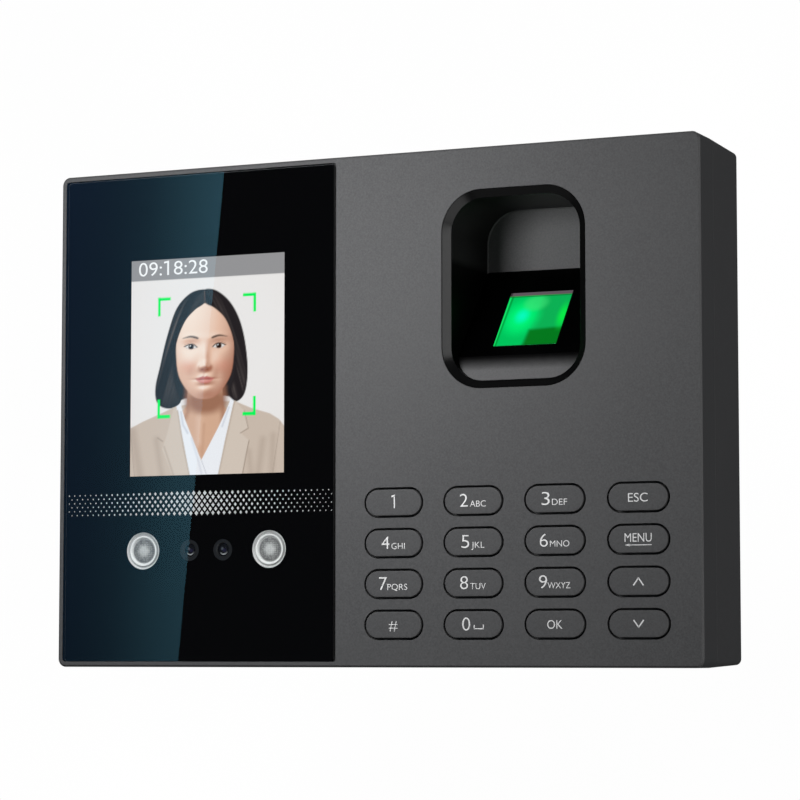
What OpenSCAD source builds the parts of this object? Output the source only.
// Wall-mounted fingerprint terminal: portrait screen behind dark glass on the left,
// a finger pocket with a sloping prism sensor above a sixteen-key pad on the right.
// X runs to the right, Z runs up, the wall is the plane Y = 0 and the front faces -Y.

/* [Body] */
// Width across the front
body_w = 180; // [178:1:200]
// Height of the front
body_h = 131; // [131:1:150]
// Depth from the wall to the front face
body_d = 31; // [31:0.5:34]
// Depth of the front shell, from the front face to the parting line
front_d = 10; // [8:0.5:11]
// Radius of the outline's corners
corner_r = 2.2; // [1.2:0.1:4]
// Width of the chamfer round the front edge
edge = 0.5; // [0.2:0.1:1]
// How far each side of the rear shell tapers in by the wall
rear_taper = 0.6; // [0.2:0.1:1]
// Thickness of the shells' side walls
wall = 2.2; // [1.8:0.1:2.6]
// Thickness of the front shell's face
face_t = 2.4; // [2.2:0.1:3]

/* [Glass] */
// Width of the cover glass
glass_w = 79.5; // [78:0.5:80]
// Height of the cover glass
glass_h = 128; // [126:0.5:128]
// Thickness of the cover glass
glass_t = 1.1; // [0.8:0.1:1.2]
// Bezel between the glass and the body's left edge
glass_margin = 1.5; // [1.5:0.1:2]
// Radius of the glass's corners
glass_r = 0.8; // [0.5:0.1:2]
// Gap round three sides of the glass
glass_gap = 0.15; // [0.1:0.05:0.3]
// Width of the open groove along the right edge of the glass
groove_w = 0.7; // [0.5:0.1:1]

/* [Screen] */
// Width of the visible picture
view_w = 45.4; // [40:0.1:46]
// Height of the visible picture
view_h = 57.3; // [50:0.1:58]
// Centre of the picture across the body
view_x = -46.4; // [-48:0.1:-46]
// Centre of the picture up the body
view_z = 13.25; // [13:0.05:15]

/* [Lamps and cameras] */
// Diameter of each lamp lens
lamp_d = 9.8; // [8:0.1:10]
// Distance between the two lamps
lamp_pitch = 37.1; // [36:0.1:38]
// Diameter of each camera window
cam_window_d = 5.6; // [5:0.1:6]
// Distance between the two cameras
cam_pitch = 9.8; // [9:0.1:11]
// Height of the row of lamps and cameras
lamp_z = -35.1; // [-36:0.1:-35]

/* [Keypad] */
// Width of a key
key_w = 15.3; // [15:0.05:16.2]
// Height of a key
key_h = 6.6; // [6.5:0.05:7.2]
// Distance between the key columns
key_pitch_x = 21.85; // [21.5:0.05:22]
// Distance between the key rows
key_pitch_z = 10.29; // [10.2:0.01:10.4]
// Centre of the first column
key_x = 7.94; // [7.9:0.02:8.2]
// Centre of the top row
key_z = -23.91; // [-24:0.01:-23.8]
// Gap round each key
key_gap = 0.55; // [0.35:0.01:0.6]
// How far a key travels when pressed
key_travel = 0.6; // [0.3:0.1:0.6]

/* [Finger pocket] */
// Width of the opening in the face
pocket_w = 38.9; // [37:0.1:39]
// Height of the opening in the face
pocket_h = 50.5; // [49:0.1:51]
// Centre of the opening across the body
pocket_x = 40.6; // [40:0.1:41]
// Centre of the opening up the body
pocket_z = 29.5; // [29.5:0.1:30]
// Radius of the opening's corners
pocket_r = 10.8; // [10:0.1:11]
// Width of the bevel round the opening
bevel_w = 2.05; // [1.8:0.05:2.1]
// Depth of that bevel
bevel_d = 1.6; // [1.4:0.1:1.8]
// Slope of the sensor table, from horizontal
table_angle = 50; // [48:1:51]
// Width of the sensing window
window_w = 17; // [15:0.5:19]
// Length of the sensing window along the slope
window_len = 19.3; // [17:0.1:19.5]

/* [Wall plate] */
// Width of the wall plate
plate_w = 156; // [152:1:157]
// Height of the wall plate
plate_h = 106; // [104:1:107]
// Thickness of the wall plate
plate_t = 1.5; // [1.2:0.1:1.6]
// Distance across between the wall screw holes
screw_span_x = 140; // [136:1:142]
// Distance up between the wall screw holes
screw_span_z = 70; // [68:1:72]
// Radius of the wall screw holes
screw_hole_r = 2.1; // [1.8:0.1:2.4]

/* [Hidden] */
$fn = 48;
BEVEL_FN = 96;
CLEAR = 1;          // how far cutting shapes run past a face

shell_grey = [0.33, 0.33, 0.34];
rear_grey = [0.24, 0.24, 0.25];
key_grey = [0.36, 0.36, 0.37];
board_green = [0.10, 0.34, 0.20];
steel_grey = [0.66, 0.67, 0.69];
dark_plastic = [0.07, 0.07, 0.08];

KEY_NAMES = [
    "key_1", "key_2", "key_3", "key_esc",
    "key_4", "key_5", "key_6", "key_menu",
    "key_7", "key_8", "key_9", "key_up",
    "key_hash", "key_0", "key_ok", "key_down"
];
KEY_COLUMNS = 4;

// Levels along Y, from the front towards the wall
front_y = -body_d;
seam_y = front_y + front_d;
face_in_y = front_y + face_t;
glass_back_y = front_y + glass_t;
film_t = 0.1;
tape_t = 0.2;
film_back_y = glass_back_y + film_t;
recess_y = film_back_y + tape_t;
rear_in_y = -3.5;
plate_recess_y = -(plate_t + 0.1);
seam_gap = 0.15;
lip_len = 1.5;
lip_t = 0.95;
rebate_w = 1.1;

rear_cavity_w = body_w - 2 * wall - 2 * rear_taper;
rear_cavity_h = body_h - 2 * wall - 2 * rear_taper;

// Glass, screen and what sits behind them
glass_x = -body_w / 2 + glass_margin + glass_w / 2;
film_inset = 0.1;
tape_w = 3;
panel_w = 51.4;
panel_h = 68.4;
panel_drop = 3;
panel_at = [view_x, view_z - panel_drop];
panel_y = [recess_y - 0.1, recess_y + 1.5];
backlight_y = [panel_y[1], panel_y[1] + 2.1];
frame_y = [face_in_y, backlight_y[1] + 0.8];
frame_wall = 1.4;
frame_fit = 0.3;
flex_w = 16;
flex_t = 0.2;

lamp_x = [view_x - 0.1 - lamp_pitch / 2, view_x - 0.1 + lamp_pitch / 2];
cam_x = [view_x + 0.1 - cam_pitch / 2, view_x + 0.1 + cam_pitch / 2];
lens_front_y = recess_y - 0.15;
bracket_y = [face_in_y + 0.1, face_in_y + 4.1];
bracket_w = 59;
bracket_h = 13.4;
bracket_end = 3;
cam_board_y = [-22.5, -21.3];
cam_barrel_r = 3.3;
cam_base = 8.4;
small_pilot_r = 0.8;
small_shaft_r = 0.75;

// Keypad stack
key_rise = 0.35;            // how far a key's face stands out from the front
key_flange_y = [face_in_y + 0.1, face_in_y + 1.1];
flange_lip = 0.8;
key_nub_y = key_flange_y[1] + 0.6;
key_nub_r = 1.9;
mat_y = [key_nub_y + 1.1, key_nub_y + 1.5];
mat_dome_y = key_nub_y + key_travel + 0.1;
mat_dome_r = 3.2;
keypad_board_t = 1.6;
keypad_low = [1, -60];
keypad_high = [81, -18.4];
keypad_board_y = [mat_y[1], mat_y[1] + keypad_board_t];
keypad_post_r = 1.7;
keypad_post_x = [key_x + 0.5 * key_pitch_x, key_x + 2.5 * key_pitch_x];
keypad_post_z = [key_z - 0.5 * key_pitch_z, key_z - 2.5 * key_pitch_z];

// Finger pocket
inner_w = pocket_w - 2 * bevel_w;
inner_h = pocket_h - 2 * bevel_w;
inner_r = pocket_r - bevel_w;
bevel_y = front_y + bevel_d;
pocket_wall = 1.5;
pocket_back_y = -5.3;
pocket_end_y = -4.2;
pocket_fit = 0.05;
lip_step = 0.3;
ring_fit = 0.1;
ring_sink = 0.1;
ring_rim = 0.1;
ramp_y = bevel_y + 0.1;
flange_w = 2.4;
flange_t = 1.4;
ear_x = 23.6;
ear_z = 18;
ear_r = 3.2;
ear_post_r = 2.2;
foot = [-23.2, 15.6];       // lower edge of the sensing window, as Y and Z
housing_t = 2.2;
table_t = 1.6;
housing_low_s = -3.578;     // where the black insert starts, along the slope from foot
lip_z = pocket_z - inner_h / 2;
pocket_top_z = pocket_z + inner_h / 2;
prism_depth = 7;
prism_inset = 3.6;
prism_fit = 0.15;
under_low_z = 7.2;
under_high_z = 29.8;
under_w = 33.2;
sensor_board_y = [-6.6, -5.4];

// Shells' screws and posts
shell_post = [84.6, 60.2];
shell_post_r = 3;
shell_boss_r = 3.4;
shell_pilot_r = 1.35;
shell_shaft_r = 1.3;
shell_clear_r = 1.6;
shell_head_r = 2.4;
shell_sink_r = 2.6;
shell_sink_d = 5;

// Main board and what it carries
main_y = [-19.9, -18.3];
main_low = [-80, -60];
main_high = [16, 56];
board_post_x = [-76, 12];
board_post_z = [-52, 52];
board_post_r = 3;
board_pilot_r = 1.1;
board_shaft_r = 1.05;
board_hole_r = 1.4;
board_head_r = 2.3;
ribbon_t = 0.2;
socket_end_z = -65.2;
network_x = [-60, -44];
network_back_y = -4.8;
network_len = 21;
usb_x = [-36, -21.5];
usb_back_y = -11.3;
usb_len = 14;
jack_x = [-12, -3];
jack_back_y = -7.3;
jack_len = 14;
socket_fit = 0.2;
speaker_low = [48, -19, -62.6];
speaker_high = [78, -6, -57];
slot_count = 7;
slot_pitch = 3.6;
slot_w = 1.5;

// Wall plate, its hooks, and its lock
plate_r = 8;
plate_fit = 0.5;
port_at = [-14, -30];
port_w = 44;
port_h = 26;
port_r = 3;
hook_x = 70;
hook_w = 10;
hook_z = 44;
hook_rise = 4.5;
hook_y = [-5.1, -3.6];
head_clear_r = 5;
lock_at = [35, -6];
lock_tab_w = 14;
lock_tab_t = 2;
lock_shaft_r = 1.45;
lock_thread_r = 1.5;
lock_hole_r = 1.75;
lock_head_r = 2.8;
lock_sink_r = 3;
lock_head_t = 1.8;

// A point on the sensor table: s along the slope from its foot, t down into it
function on_slope(s, t) = [
    foot[0] + s * cos(table_angle) + t * sin(table_angle),
    foot[1] + s * sin(table_angle) - t * cos(table_angle)
];
// Height of the line t under the slope at depth y, and the depth at height z
function slope_z(y, t) = foot[1] + (y - foot[0]) * tan(table_angle) - t / cos(table_angle);
function slope_y(z, t) = foot[0] + (z - foot[1] + t / cos(table_angle)) / tan(table_angle);
function key_at(i) = [
    key_x + (i % KEY_COLUMNS) * key_pitch_x,
    key_z - floor(i / KEY_COLUMNS) * key_pitch_z
];

// ---- Shared shapes ----

// Rectangle with round corners, centred
module rounded_rect(w, h, r) {
    square([w - 2 * r, h], center = true);
    square([w, h - 2 * r], center = true);
    for (x = [-1, 1], z = [-1, 1])
        translate([x * (w / 2 - r), z * (h / 2 - r)]) circle(r = r);
}

// Bar with half-round ends, centred
module stadium(w, h) {
    square([w - h, h], center = true);
    for (x = [-1, 1]) translate([x * (w - h) / 2, 0]) circle(d = h);
}

// Draws an outline across X and Z, and gives it depth from y_front to y_back
module deep(y_front, y_back, at = [0, 0]) {
    translate([at[0], y_back, at[1]])
        rotate([90, 0, 0])
            linear_extrude(y_back - y_front) children();
}

module plate(w, h, r, y_front, y_back, at = [0, 0]) {
    deep(y_front, y_back, at) rounded_rect(w, h, r);
}

// Plate with round corners whose sides lean in by inset from y_wide to y_narrow
module tapered_plate(w, h, r, inset, y_wide, y_narrow, at = [0, 0]) {
    x = w / 2 - r;
    z = h / 2 - r;
    translate([at[0], 0, at[1]]) {
        at_corners(x, z) translate([0, y_wide, 0])
            rotate([y_narrow > y_wide ? -90 : 90, 0, 0])
                cylinder(r1 = r, r2 = r - inset, h = abs(y_narrow - y_wide));
        side_profile([[y_wide, h / 2], [y_wide, -h / 2], [y_narrow, inset - h / 2],
            [y_narrow, h / 2 - inset]], -x, x);
        front_profile([[w / 2, y_wide], [-w / 2, y_wide], [inset - w / 2, y_narrow],
            [w / 2 - inset, y_narrow]], -z, z);
    }
}

module rod(r, y_front, y_back, at = [0, 0]) {
    translate([at[0], y_back, at[1]])
        rotate([90, 0, 0]) cylinder(r = r, h = y_back - y_front);
}

module block(low, high) {
    translate(low) cube(high - low);
}

// Solid between x0 and x1 with a side outline given as [Y, Z] points
module side_profile(points, x0, x1) {
    translate([x0, 0, 0])
        rotate([90, 0, 90]) linear_extrude(x1 - x0) polygon(points);
}

// Solid between z0 and z1 with an outline given as [X, Y] points
module front_profile(points, z0, z1) {
    translate([0, 0, z0]) linear_extrude(z1 - z0) polygon(points);
}

// Round piece about the Y axis, with [radius, height towards the front] points
module turned(points, y_back, at) {
    translate([at[0], y_back, at[1]])
        rotate([90, 0, 0]) rotate_extrude() polygon(points);
}

module at_corners(x, z) {
    for (sx = [-1, 1], sz = [-1, 1]) translate([sx * x, 0, sz * z]) children();
}

// Screw along Y: its head reaches from head_y forward by head_t, or back if negative
module screw(shaft_r, head_r, head_y, head_t, tip_y, at = [0, 0]) {
    rod(head_r, min(head_y, head_y + head_t), max(head_y, head_y + head_t), at);
    rod(shaft_r, min(head_y, tip_y), max(head_y, tip_y), at);
}

// ---- Shells ----

module front_outside() {
    plate(body_w, body_h, corner_r, front_y + edge, seam_y);
    tapered_plate(body_w, body_h, corner_r, edge, front_y + edge, front_y);
}

module glass_recess() {
    left = -body_w / 2 + glass_margin - glass_gap;
    right = glass_x + glass_w / 2 + groove_w;
    plate(right - left, glass_h + 2 * glass_gap, glass_r, front_y - CLEAR, recess_y,
        [(left + right) / 2, 0]);
    // Openings behind the glass for the screen, the lamps and the cameras
    plate(panel_w + 1, panel_h + 1, 1, recess_y - CLEAR, face_in_y + CLEAR, panel_at);
    for (x = lamp_x) rod(lamp_d / 2 + 0.4, recess_y - CLEAR, face_in_y + CLEAR, [x, lamp_z]);
    for (x = cam_x) rod(cam_barrel_r + 0.3, recess_y - CLEAR, face_in_y + CLEAR, [x, lamp_z]);
}

module front_posts() {
    at_corners(shell_post[0], shell_post[1]) rod(shell_post_r, face_in_y, seam_y);
    for (x = keypad_post_x, z = keypad_post_z)
        rod(keypad_post_r, face_in_y, keypad_board_y[0], [x, z]);
    translate([pocket_x, 0, pocket_z])
        at_corners(ear_x, ear_z) rod(ear_post_r, face_in_y, face_in_y + flange_t);
}

module front_pilots() {
    at_corners(shell_post[0], shell_post[1]) rod(shell_pilot_r, face_in_y + CLEAR, seam_y + CLEAR);
    for (x = keypad_post_x, z = keypad_post_z)
        rod(small_pilot_r, face_in_y - CLEAR, keypad_board_y[0] + CLEAR, [x, z]);
    translate([pocket_x, 0, pocket_z])
        at_corners(ear_x, ear_z) rod(small_pilot_r, face_in_y - CLEAR, face_in_y + flange_t + CLEAR);
}

module front_shell() {
    lip_w = body_w - 2 * (wall - lip_t);
    lip_h = body_h - 2 * (wall - lip_t);
    color(shell_grey) difference() {
        union() {
            difference() {
                front_outside();
                plate(body_w - 2 * wall, body_h - 2 * wall, 1, face_in_y, seam_y + CLEAR);
            }
            difference() {
                plate(lip_w, lip_h, 1, seam_y - CLEAR, seam_y + lip_len);
                plate(body_w - 2 * wall, body_h - 2 * wall, 1, seam_y - 2 * CLEAR, seam_y + 2 * CLEAR);
            }
            front_posts();
        }
        glass_recess();
        plate(pocket_w, pocket_h, pocket_r, front_y - CLEAR, face_in_y + CLEAR, [pocket_x, pocket_z]);
        for (i = [0 : len(KEY_NAMES) - 1])
            deep(front_y - CLEAR, face_in_y + CLEAR, key_at(i))
                stadium(key_w + 2 * key_gap, key_h + 2 * key_gap);
        front_pilots();
    }
}

module rear_outside() {
    tapered_plate(body_w, body_h, corner_r, rear_taper, seam_y + seam_gap, 0);
}

module rear_openings() {
    // Recess for the wall plate and the cable port
    plate(plate_w + 2 * plate_fit, plate_h + 2 * plate_fit, plate_r, plate_recess_y, CLEAR);
    plate(port_w, port_h, port_r, rear_in_y - CLEAR, CLEAR, port_at);
    // Room for the wall screws' heads, the hooks and the lock tab
    at_corners(screw_span_x / 2, screw_span_z / 2) rod(head_clear_r, rear_in_y - CLEAR, CLEAR);
    for (x = [-hook_x, hook_x])
        block([x - hook_w / 2 - 1, rear_in_y - CLEAR, hook_z - 1],
            [x + hook_w / 2 + 1, CLEAR, hook_z + hook_rise + 2]);
    block([lock_at[0] - lock_tab_w / 2 - 0.5, rear_in_y - CLEAR, -plate_h / 2 - 0.4],
        [lock_at[0] + lock_tab_w / 2 + 0.5, CLEAR, -plate_h / 2 + lock_tab_t + 0.6]);
    // Sockets in the lower wall
    low_z = -body_h / 2 - CLEAR;
    high_z = -rear_cavity_h / 2 + CLEAR;
    block([network_x[0] - socket_fit, main_y[1] - socket_fit, low_z],
        [network_x[1] + socket_fit, network_back_y + socket_fit, high_z]);
    block([usb_x[0] - socket_fit, main_y[1] - socket_fit, low_z],
        [usb_x[1] + socket_fit, usb_back_y + socket_fit, high_z]);
    block([jack_x[0] - socket_fit, main_y[1] - socket_fit, low_z],
        [jack_x[1] + socket_fit, jack_back_y + socket_fit, high_z]);
    // Sound slots in front of the speaker
    slots_x = (speaker_low[0] + speaker_high[0]) / 2 - slot_pitch * (slot_count - 1) / 2;
    for (i = [0 : slot_count - 1])
        block([slots_x + i * slot_pitch - slot_w / 2, speaker_low[1] + 2.5, low_z],
            [slots_x + i * slot_pitch + slot_w / 2, speaker_high[1] - 2.5, high_z]);
}

// Upright holes in the lower wall for the lock screw
module lock_holes() {
    translate([lock_at[0], lock_at[1], -body_h / 2 - CLEAR]) {
        cylinder(r = lock_hole_r, h = wall + 3);
        cylinder(r = lock_sink_r, h = lock_head_t + CLEAR + 0.4);
    }
}

module rear_shell() {
    color(rear_grey) difference() {
        union() {
            difference() {
                rear_outside();
                plate(rear_cavity_w, rear_cavity_h, 1, seam_y - CLEAR, rear_in_y);
            }
            at_corners(shell_post[0], shell_post[1])
                rod(shell_boss_r, seam_y + seam_gap, rear_in_y + CLEAR);
            for (x = board_post_x, z = board_post_z)
                rod(board_post_r, main_y[1], rear_in_y + CLEAR, [x, z]);
        }
        // Rebate that takes the front shell's lip
        difference() {
            plate(body_w - 2 * rebate_w, body_h - 2 * rebate_w, 1.2, seam_y - CLEAR,
                seam_y + lip_len + 0.2);
            plate(rear_cavity_w, rear_cavity_h, 1, seam_y - 2 * CLEAR, seam_y + lip_len + CLEAR);
        }
        rear_openings();
        lock_holes();
        at_corners(shell_post[0], shell_post[1]) {
            rod(shell_clear_r, seam_y - CLEAR, CLEAR);
            rod(shell_sink_r, -shell_sink_d, CLEAR);
        }
        for (x = board_post_x, z = board_post_z)
            rod(board_pilot_r, main_y[1] - CLEAR, main_y[1] + 10, [x, z]);
    }
}

// Steel plate that stays on the wall, with two hooks and a tab for the lock screw
module wall_plate() {
    color(steel_grey) difference() {
        union() {
            plate(plate_w, plate_h, plate_r, -plate_t, 0);
            for (x = [-hook_x, hook_x]) {
                block([x - hook_w / 2, hook_y[0], hook_z], [x + hook_w / 2, 0, hook_z + 1.5]);
                block([x - hook_w / 2, hook_y[0], hook_z],
                    [x + hook_w / 2, hook_y[1], hook_z + hook_rise]);
            }
            block([lock_at[0] - lock_tab_w / 2, lock_at[1] - 4, -plate_h / 2],
                [lock_at[0] + lock_tab_w / 2, 0, -plate_h / 2 + lock_tab_t]);
        }
        at_corners(screw_span_x / 2, screw_span_z / 2) rod(screw_hole_r, -plate_t - CLEAR, CLEAR);
        plate(port_w, port_h, port_r, -plate_t - CLEAR, CLEAR, port_at);
        translate([lock_at[0], lock_at[1], -plate_h / 2 - CLEAR])
            cylinder(r = lock_thread_r, h = lock_tab_t + 2 * CLEAR);
    }
}

// ---- Glass and screen ----

module cover_glass() {
    color([0.02, 0.03, 0.05])
        plate(glass_w, glass_h, glass_r, front_y, glass_back_y, [glass_x, 0]);
}

// Black printed film with windows for the screen, the lamps and the cameras
module mask_film() {
    color("black") difference() {
        plate(glass_w - 2 * film_inset, glass_h - 2 * film_inset, glass_r, glass_back_y, film_back_y,
            [glass_x, 0]);
        deep(glass_back_y - CLEAR, film_back_y + CLEAR, [view_x, view_z])
            square([view_w, view_h], center = true);
        for (x = lamp_x) rod(lamp_d / 2, glass_back_y - CLEAR, film_back_y + CLEAR, [x, lamp_z]);
        for (x = cam_x) rod(cam_window_d / 2, glass_back_y - CLEAR, film_back_y + CLEAR, [x, lamp_z]);
    }
}

module glass_tape() {
    w = glass_w - 4 * film_inset;
    h = glass_h - 4 * film_inset;
    color([0.2, 0.2, 0.2]) difference() {
        plate(w, h, glass_r, film_back_y, recess_y, [glass_x, 0]);
        plate(w - 2 * tape_w, h - 2 * tape_w, glass_r, film_back_y - CLEAR, recess_y + CLEAR,
            [glass_x, 0]);
    }
}

module display_panel() {
    color([0.85, 0.87, 0.88]) plate(panel_w, panel_h, 0.6, panel_y[0], panel_y[1], panel_at);
}

module display_backlight() {
    color("white") plate(panel_w - 0.4, panel_h - 0.4, 0.6, backlight_y[0], backlight_y[1], panel_at);
}

// Tray that carries the backlight against the back of the front shell
module display_frame() {
    w = panel_w + 2 * frame_fit;
    h = panel_h + 2 * frame_fit;
    color(steel_grey) difference() {
        plate(w + 2 * frame_wall, h + 2 * frame_wall, 2, frame_y[0], frame_y[1], panel_at);
        plate(w, h, 0.8, frame_y[0] - CLEAR, backlight_y[1], panel_at);
    }
}

// Ribbon from the screen round to its socket on the main board
module display_flex() {
    top_z = panel_at[1];
    turn_z = top_z - 12;
    end_z = top_z - 20;
    low_y = main_y[0] - 1.2;
    points = [
        [frame_y[1], top_z], [frame_y[1], turn_z], [low_y, end_z], [low_y, end_z - 5],
        [low_y + flex_t, end_z - 5], [low_y + flex_t, end_z + 0.1],
        [frame_y[1] + flex_t, turn_z + 0.1], [frame_y[1] + flex_t, top_z]
    ];
    color([0.80, 0.52, 0.16]) {
        side_profile(points, view_x - flex_w / 2, view_x + flex_w / 2);
        block([view_x - flex_w / 2 - 1, low_y + flex_t, end_z - 5],
            [view_x + flex_w / 2 + 1, main_y[0], end_z - 1]);
    }
}

// ---- Lamps and cameras ----

// Collimating lens: a flat round front, a holding rim and a cone down to the LED
module lamp_lens(x) {
    r = lamp_d / 2;
    back_y = cam_board_y[0] - 1.7;
    rim = back_y - face_in_y - 0.7;
    top = back_y - lens_front_y;
    color([0.85, 0.86, 0.87])
        turned([[0, 0], [2.6, 0], [r - 0.6, rim - 0.6], [r + 0.8, rim - 0.1], [r + 0.8, rim + 0.5],
            [r - 0.05, rim + 0.5], [r - 0.05, top], [0, top]], back_y, [x, lamp_z]);
}

module lamp_leds() {
    half = 1.75;
    color([0.95, 0.90, 0.60]) for (x = lamp_x)
        block([x - half, cam_board_y[0] - 1.5, lamp_z - half], [x + half, cam_board_y[0], lamp_z + half]);
}

// Camera module: square base on the board and a round barrel with a bore for its lens
module camera(x) {
    r = cam_barrel_r;
    base_t = 1.6;
    back_y = cam_board_y[0] - base_t;
    top = back_y - lens_front_y;
    color([0.10, 0.10, 0.11]) {
        turned([[0, 0], [r, 0], [r, top], [1.9, top], [1.7, top - 0.2], [1.7, top - 2], [0, top - 2]],
            back_y, [x, lamp_z]);
        block([x - cam_base / 2, back_y, lamp_z - cam_base / 2],
            [x + cam_base / 2, cam_board_y[0], lamp_z + cam_base / 2]);
    }
}

module camera_lenses() {
    color([0.18, 0.15, 0.30]) for (x = cam_x)
        turned([[0, 0], [1.65, 0], [1.65, 1.3], [1.2, 1.6], [0.6, 1.75], [0, 1.8]],
            lens_front_y + 2, [x, lamp_z]);
}

module camera_bracket() {
    mid = [view_x, lamp_z];
    color(dark_plastic) difference() {
        union() {
            plate(bracket_w, bracket_h, 1.5, bracket_y[0], bracket_y[1], mid);
            for (x = [-1, 1])
                rod(bracket_end - 0.6, bracket_y[0], cam_board_y[0],
                    [view_x + x * (bracket_w / 2 - bracket_end), lamp_z]);
        }
        for (x = lamp_x) rod(lamp_d / 2 + 1, bracket_y[0] - CLEAR, bracket_y[1] + CLEAR, [x, lamp_z]);
        for (x = cam_x) rod(cam_barrel_r + 0.2, bracket_y[0] - CLEAR, bracket_y[1] + CLEAR, [x, lamp_z]);
        for (x = [-1, 1])
            rod(small_pilot_r, bracket_y[0] + CLEAR, cam_board_y[0] + CLEAR,
                [view_x + x * (bracket_w / 2 - bracket_end), lamp_z]);
    }
}

module camera_board() {
    color(board_green) difference() {
        plate(bracket_w, bracket_h, 1, cam_board_y[0], cam_board_y[1], [view_x, lamp_z]);
        for (x = [-1, 1])
            rod(small_pilot_r + 0.2, cam_board_y[0] - CLEAR, cam_board_y[1] + CLEAR,
                [view_x + x * (bracket_w / 2 - bracket_end), lamp_z]);
    }
}

module camera_screws() {
    color(steel_grey) for (x = [-1, 1])
        screw(small_shaft_r, 1.6, cam_board_y[1], 1, cam_board_y[0] - 4,
            [view_x + x * (bracket_w / 2 - bracket_end), lamp_z]);
}

// ---- Finger pocket ----

// Black surround: a bevelled ring in the face, and the tube's side walls behind it
module pocket_surround() {
    at = [pocket_x, pocket_z];
    tube_w = inner_w + 2 * pocket_wall;
    tube_h = inner_h + 2 * pocket_wall;
    ring_w = pocket_w - 2 * ring_fit;
    ring_h = pocket_h - 2 * ring_fit;
    ring_y = front_y + ring_sink;
    lean = bevel_w - ring_fit - ring_rim / 2;
    mouth_w = inner_w + 2 * lean;
    mouth_h = inner_h + 2 * lean;
    color([0.06, 0.06, 0.06]) difference() {
        union() {
            plate(ring_w, ring_h, pocket_r - ring_fit, ring_y, face_in_y, at);
            plate(tube_w, tube_h, inner_r + pocket_wall, face_in_y, pocket_end_y, at);
            plate(tube_w + 2 * flange_w, tube_h + 2 * flange_w, inner_r + pocket_wall + flange_w,
                face_in_y, face_in_y + flange_t, at);
            translate([pocket_x, 0, pocket_z])
                at_corners(ear_x, ear_z) rod(ear_r, face_in_y, face_in_y + flange_t);
        }
        tapered_plate(mouth_w, mouth_h, inner_r + lean, lean, ring_y, bevel_y, at, $fn = BEVEL_FN);
        plate(mouth_w, mouth_h, inner_r + lean, ring_y - CLEAR, ring_y, at, $fn = BEVEL_FN);
        plate(inner_w, inner_h, inner_r, bevel_y, pocket_end_y + CLEAR, at, $fn = BEVEL_FN);
        translate([pocket_x, 0, pocket_z])
            at_corners(ear_x, ear_z)
                rod(ear_post_r + 0.05, face_in_y - CLEAR, face_in_y + flange_t + CLEAR);
    }
}

// Space behind the sloping table, open to the back, for the sensor's optics and board
module under_space() {
    t = housing_t + table_t;
    side_profile([
        [slope_y(under_low_z, t), under_low_z], [slope_y(under_high_z, t), under_high_z],
        [pocket_end_y + CLEAR, under_high_z], [pocket_end_y + CLEAR, under_low_z]
    ], pocket_x - under_w / 2, pocket_x + under_w / 2);
}

// Grey insert inside the surround: back wall, sloping table and the ramp below it
module finger_pocket() {
    side = pocket_w / 2;
    foot_z = lip_z - CLEAR;
    color([0.33, 0.33, 0.34]) difference() {
        intersection() {
            plate(inner_w - 2 * pocket_fit, inner_h - 2 * pocket_fit, inner_r - pocket_fit,
                ramp_y, pocket_end_y, [pocket_x, pocket_z]);
            side_profile([
                [ramp_y - CLEAR, foot_z], [ramp_y - CLEAR, lip_z], [ramp_y, lip_z + lip_step],
                on_slope(housing_low_s, 0), on_slope(housing_low_s + 0.4, housing_t),
                [pocket_back_y, slope_z(pocket_back_y, housing_t)],
                [pocket_back_y, pocket_top_z + CLEAR], [pocket_end_y + CLEAR, pocket_top_z + CLEAR],
                [pocket_end_y + CLEAR, foot_z]
            ], pocket_x - side, pocket_x + side);
        }
        under_space();
        side_profile([
            on_slope(-0.3, 0), on_slope(window_len + 0.3, 0),
            on_slope(window_len + 0.3, 2 * prism_depth), on_slope(-0.3, 2 * prism_depth)
        ], pocket_x - window_w / 2 - 0.3, pocket_x + window_w / 2 + 0.3);
    }
}

// Black insert that covers the table and frames the sensing window
module sensor_housing() {
    half = inner_w / 2 - 0.1;
    end_y = pocket_back_y - 0.1;
    color(dark_plastic) difference() {
        side_profile([
            on_slope(housing_low_s, 0), [end_y, slope_z(end_y, 0)],
            [end_y, slope_z(end_y, housing_t)], on_slope(housing_low_s + 0.5, housing_t)
        ], pocket_x - half, pocket_x + half);
        side_profile([
            on_slope(-prism_fit, -CLEAR), on_slope(window_len + prism_fit, -CLEAR),
            on_slope(window_len + prism_fit, housing_t + CLEAR), on_slope(-prism_fit, housing_t + CLEAR)
        ], pocket_x - window_w / 2 - prism_fit, pocket_x + window_w / 2 + prism_fit);
    }
}

module sensor_prism() {
    top_s = window_len - 1.2;
    color([0.1, 0.85, 0.3]) side_profile([
        on_slope(0, 0), on_slope(top_s, 0), on_slope(window_len, 0.9), on_slope(window_len, 2),
        on_slope(window_len - prism_inset, prism_depth), on_slope(prism_inset, prism_depth),
        on_slope(0, 2)
    ], pocket_x - window_w / 2, pocket_x + window_w / 2);
}

module sensor_imager() {
    z = 12.2;
    color([0.12, 0.12, 0.13]) {
        rod(3, -11, sensor_board_y[0], [pocket_x, z]);
        block([pocket_x - 4, -8, z - 4], [pocket_x + 4, sensor_board_y[0], z + 4]);
    }
}

module sensor_board() {
    led = [3.5, 1.2, 2.8];
    half = 13.5;
    color(board_green)
        block([pocket_x - half, sensor_board_y[0], 7.6], [pocket_x + half, sensor_board_y[1], 27.4]);
    color([0.6, 1.0, 0.6]) for (x = [-1, 1])
        translate([pocket_x + x * 9 - led[0] / 2, sensor_board_y[0] - led[1], 14]) cube(led);
}

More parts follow.
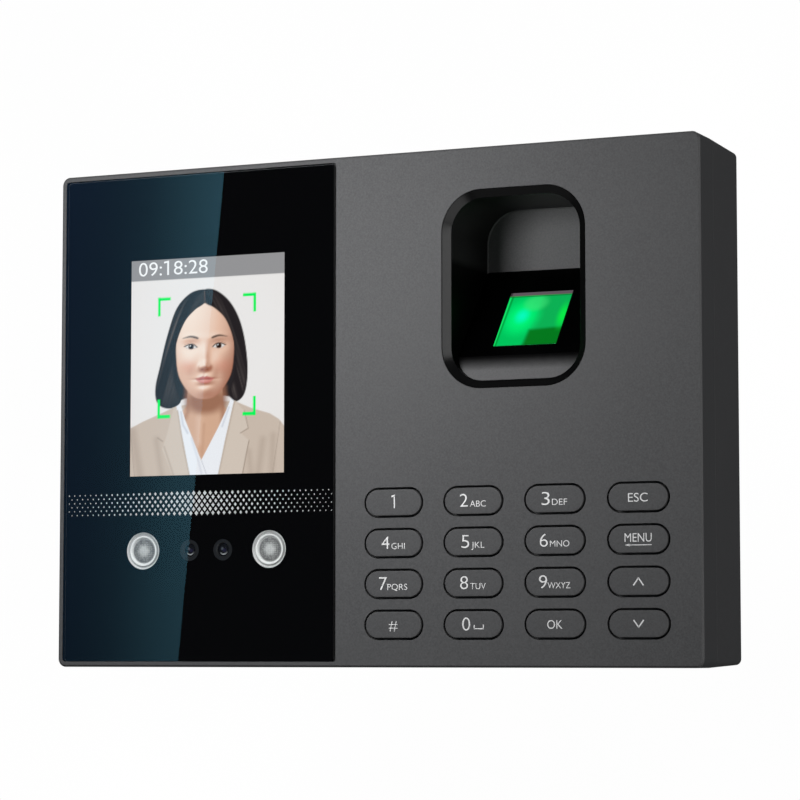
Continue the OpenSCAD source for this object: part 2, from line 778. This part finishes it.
// Ribbon from the sensor board, past the pocket, to its plug on the main board
module sensor_cable() {
    z = [14, 22];
    back_y = -4.0;
    side_x = 18.7;
    plug_x = 9;
    plug_y = main_y[1] + 2;
    color([0.85, 0.85, 0.82]) {
        block([side_x, back_y, z[0]], [29, back_y + ribbon_t, z[1]]);
        block([29 - ribbon_t, sensor_board_y[1], z[0]], [29, back_y + ribbon_t, z[1]]);
        block([side_x, plug_y - ribbon_t, z[0]], [side_x + ribbon_t, back_y + ribbon_t, z[1]]);
        block([plug_x, plug_y - ribbon_t, z[0]], [side_x + ribbon_t, plug_y, z[1]]);
        block([plug_x, main_y[1], z[0] - 1], [plug_x + 5, plug_y - ribbon_t, z[1] + 1]);
    }
}

module pocket_screws() {
    color(steel_grey) translate([pocket_x, 0, pocket_z]) at_corners(ear_x, ear_z)
        screw(small_shaft_r, 2.6, face_in_y + flange_t, 1, face_in_y - 0.8);
}

// ---- Keypad ----

// Key: a stadium cap just above the face, a hidden flange that keeps it in, and a nub
module key_cap(i) {
    at = key_at(i);
    color(key_grey) {
        deep(front_y - key_rise, key_flange_y[0], at) stadium(key_w, key_h);
        deep(key_flange_y[0], key_flange_y[1], at)
            stadium(key_w + 2 * (key_gap + flange_lip), key_h + 2 * (key_gap + flange_lip));
        rod(key_nub_r, key_flange_y[1], key_nub_y, at);
    }
}

module keypad_outline() {
    size = keypad_high - keypad_low;
    translate((keypad_low + keypad_high) / 2) rounded_rect(size[0], size[1], 1);
}

// Rubber sheet with a dome under each key
module keypad_mat() {
    color([0.85, 0.85, 0.82]) difference() {
        union() {
            deep(mat_y[0], mat_y[1]) keypad_outline();
            for (i = [0 : len(KEY_NAMES) - 1]) rod(mat_dome_r, mat_dome_y, mat_y[0], key_at(i));
        }
        for (x = keypad_post_x, z = keypad_post_z)
            rod(keypad_post_r + 0.2, mat_y[0] - CLEAR, mat_y[1] + CLEAR, [x, z]);
    }
}

module keypad_board() {
    color(board_green) difference() {
        deep(keypad_board_y[0], keypad_board_y[1]) keypad_outline();
        for (x = keypad_post_x, z = keypad_post_z)
            rod(small_pilot_r + 0.2, keypad_board_y[0] - CLEAR, keypad_board_y[1] + CLEAR, [x, z]);
    }
}

module keypad_screws() {
    color(steel_grey) for (x = keypad_post_x, z = keypad_post_z)
        screw(small_shaft_r, 1.6, keypad_board_y[1], 1, face_in_y, [x, z]);
}

module keypad_header() {
    color(dark_plastic) block([5, keypad_board_y[1], -46], [9, main_y[0], -26]);
}

// ---- Main board ----

module main_board() {
    size = main_high - main_low;
    color(board_green) difference() {
        deep(main_y[0], main_y[1], (main_low + main_high) / 2) rounded_rect(size[0], size[1], 1.5);
        for (x = board_post_x, z = board_post_z)
            rod(board_hole_r, main_y[0] - CLEAR, main_y[1] + CLEAR, [x, z]);
    }
}

module board_screws() {
    color(steel_grey) for (x = board_post_x, z = board_post_z)
        screw(board_shaft_r, board_head_r, main_y[0], -1.5, main_y[1] + 7, [x, z]);
}

module processor_shield() {
    color(steel_grey) plate(30, 30, 1, main_y[1], main_y[1] + 2.6, [-20, 26]);
}

module clock_battery() {
    color([0.75, 0.76, 0.78]) rod(10, main_y[1] + 1, main_y[1] + 4.2, [-58, 30]);
    color(dark_plastic) {
        block([-70, main_y[1], 28], [-46, main_y[1] + 1, 32]);
        block([-70, main_y[1], 28], [-68.5, main_y[1] + 4.2, 32]);
        block([-47.5, main_y[1], 28], [-46, main_y[1] + 4.2, 32]);
    }
}

module door_relay() {
    color([0.12, 0.25, 0.55]) plate(20, 15.6, 0.8, main_y[1], main_y[1] + 12, [-60, -18]);
}

// Screw terminal block behind the cable port
module terminal_block() {
    low = [port_at[0] - 17, main_y[1], port_at[1] - 5];
    pitch = 5.6;
    color([0.15, 0.45, 0.25]) difference() {
        block(low, low + [34, 10, 10]);
        for (i = [0 : 5]) {
            translate([low[0] + 3 + i * pitch, low[1] + 4, low[2] - CLEAR]) cube([2.6, 3, 6]);
            rod(1.3, low[1] + 7.5, low[1] + 11, [low[0] + 4.3 + i * pitch, port_at[1]]);
        }
    }
}

module network_socket() {
    color(steel_grey) difference() {
        block([network_x[0], main_y[1], socket_end_z],
            [network_x[1], network_back_y, socket_end_z + network_len]);
        block([network_x[0] + 2.1, main_y[1] + 2.2, socket_end_z - CLEAR],
            [network_x[1] - 2.1, main_y[1] + 10.2, socket_end_z + 13]);
    }
}

module usb_socket() {
    color(steel_grey) difference() {
        block([usb_x[0], main_y[1], socket_end_z], [usb_x[1], usb_back_y, socket_end_z + usb_len]);
        block([usb_x[0] + 1, main_y[1] + 1, socket_end_z - CLEAR],
            [usb_x[1] - 1, usb_back_y - 1, socket_end_z + 10]);
    }
    // Contact tongue
    color("white")
        block([usb_x[0] + 2, main_y[1] + 1.4, socket_end_z + 1],
            [usb_x[1] - 2, main_y[1] + 3.2, socket_end_z + 10]);
}

module power_jack() {
    mid = [(jack_x[0] + jack_x[1]) / 2, (main_y[1] + jack_back_y) / 2, socket_end_z];
    color(dark_plastic) difference() {
        block([jack_x[0], main_y[1], socket_end_z], [jack_x[1], jack_back_y, socket_end_z + jack_len]);
        translate(mid - [0, 0, CLEAR]) cylinder(r = 3.2, h = 9 + CLEAR);
    }
    color(steel_grey) translate(mid + [0, 0, 1]) cylinder(r = 1, h = 8);
}

module speaker() {
    mid = (speaker_low + speaker_high) / 2;
    color([0.15, 0.15, 0.16]) {
        block(speaker_low, speaker_high);
        translate([mid[0], mid[1], speaker_high[2]]) cylinder(r = 4, h = 2);
    }
}

// ---- Screws that close the case ----

module shell_screws() {
    color(steel_grey) at_corners(shell_post[0], shell_post[1])
        screw(shell_shaft_r, shell_head_r, -shell_sink_d, 1.8, seam_y - 4);
}

module lock_screw() {
    color(steel_grey) translate([lock_at[0], lock_at[1], -body_h / 2 + 0.3]) {
        cylinder(r = lock_head_r, h = lock_head_t);
        cylinder(r = lock_shaft_r, h = (body_h - plate_h) / 2 + lock_tab_t + 0.5);
    }
}

front_shell();
rear_shell();
wall_plate();
cover_glass();
mask_film();
glass_tape();
display_panel();
display_backlight();
display_frame();
display_flex();
lamp_lens(lamp_x[0]);  // lamp_lens_left
lamp_lens(lamp_x[1]);  // lamp_lens_right
lamp_leds();
camera(cam_x[0]);  // camera_colour
camera(cam_x[1]);  // camera_infrared
camera_lenses();
camera_bracket();
camera_board();
camera_screws();
finger_pocket();
pocket_surround();
sensor_housing();
sensor_prism();
sensor_imager();
sensor_board();
sensor_cable();
pocket_screws();
keypad_mat();
keypad_board();
keypad_screws();
keypad_header();
main_board();
board_screws();
processor_shield();
clock_battery();
door_relay();
terminal_block();
network_socket();
usb_socket();
power_jack();
speaker();
shell_screws();
lock_screw();
for (i = [0 : len(KEY_NAMES) - 1])
    key_cap(i);
